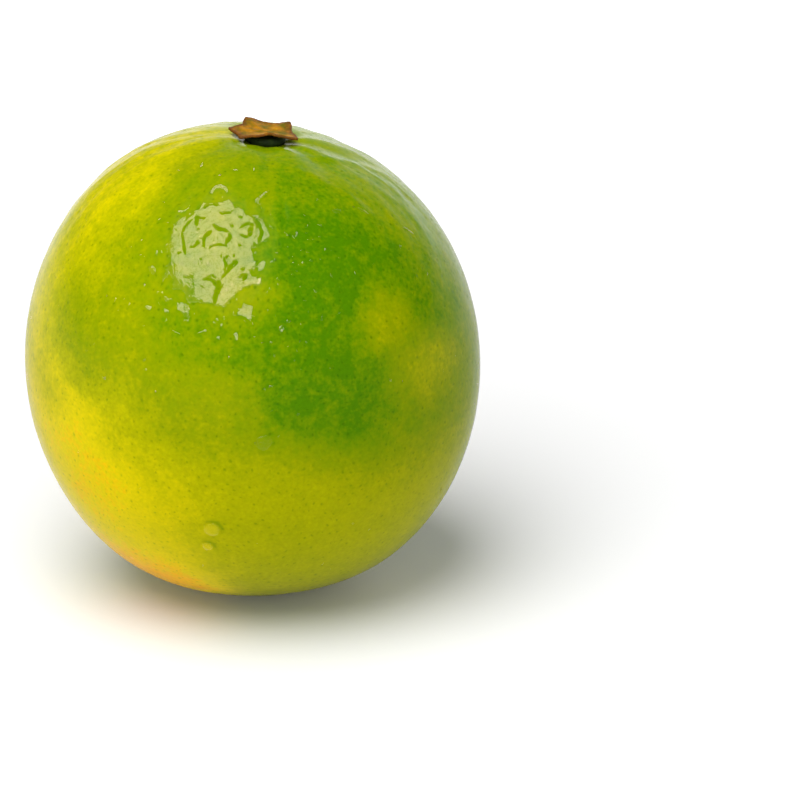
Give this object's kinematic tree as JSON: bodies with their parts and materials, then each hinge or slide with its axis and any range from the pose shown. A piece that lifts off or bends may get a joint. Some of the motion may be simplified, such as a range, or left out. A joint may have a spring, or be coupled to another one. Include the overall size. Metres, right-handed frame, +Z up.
{
  "type": "rock sugar orange",
  "caption": "Whole green-yellow sweet orange resting on its blossom end, with pitted rind, a dried star calyx and a cut stalk stub at the stem end.",
  "frame": {"origin": "middle of the fruit's footprint, on the surface that its blossom-end flat rests on", "axes": "+Z up from the blossom end towards the stem end, -Y towards the viewer of the picture, +X to the viewer's right"},
  "size_m": [0.0682, 0.0682, 0.0721],
  "materials": {
    "rind": "waxy citrus rind, wet in patches, green turning yellow, pitted with oil glands",
    "dried_sepal": "dry brown-olive plant tissue, matt with a few glossy creases",
    "green_stalk": "dark green woody tissue, matt, paler where it is cut"
  },
  "bodies": {
    "root": {"fruit": "rind", "calyx": "dried_sepal", "stem_button": "green_stalk"}
  },
  "joints": []
}
